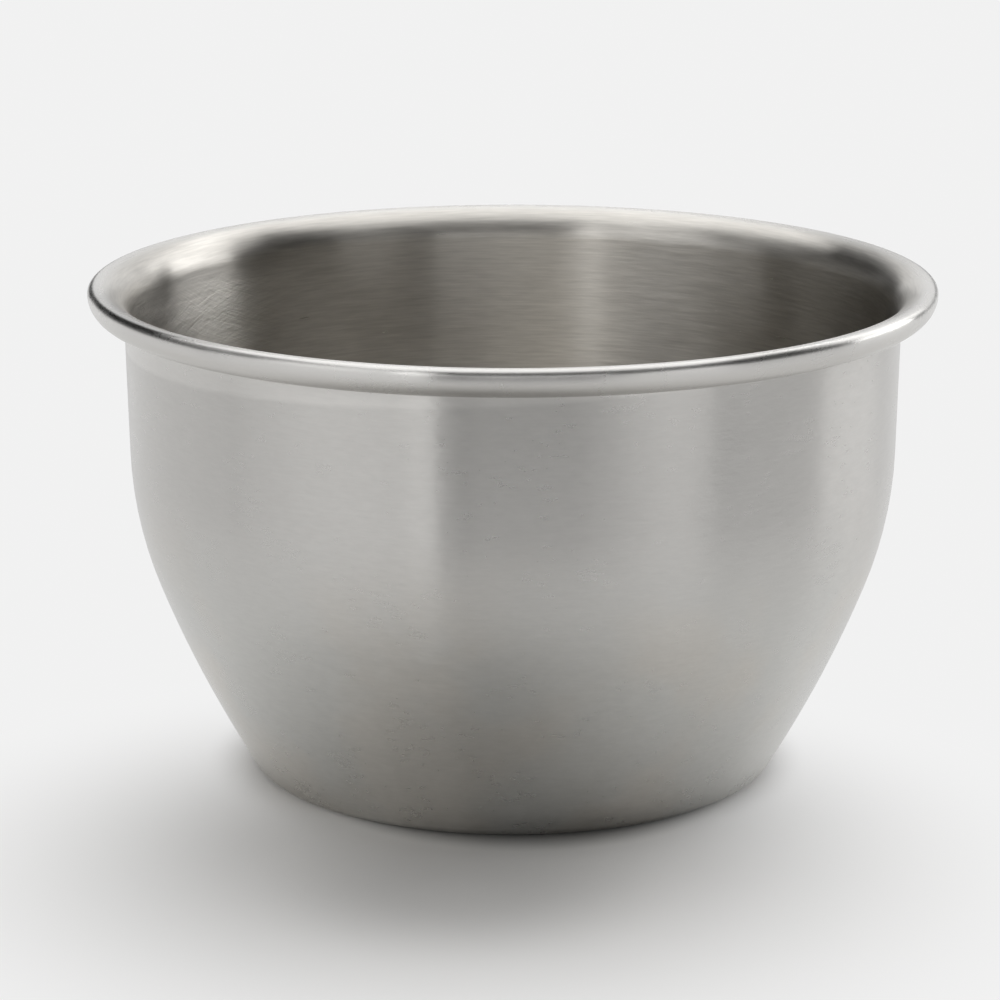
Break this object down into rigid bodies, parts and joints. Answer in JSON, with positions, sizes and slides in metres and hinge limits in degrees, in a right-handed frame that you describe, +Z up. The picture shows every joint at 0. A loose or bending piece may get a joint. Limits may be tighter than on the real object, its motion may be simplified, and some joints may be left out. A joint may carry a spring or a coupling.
{
  "type": "prep bowl",
  "caption": "Round steel prep bowl with a flat base, a tapering lower wall, a near-upright upper wall and a flared, rolled lip.",
  "frame": {"origin": "centre of the base, on the surface that the bowl stands on", "axes": "+Z is up, along the bowl's own axis; the bowl is round, so +X and +Y are any two level directions at a right angle"},
  "size_m": [0.12, 0.12, 0.0705],
  "materials": {
    "brushed_sheet": "satin brushed stainless steel with fine lines running round the bowl; the rolled lip is smoother and brighter"
  },
  "bodies": {
    "root": {"bowl": "brushed_sheet"}
  },
  "joints": []
}
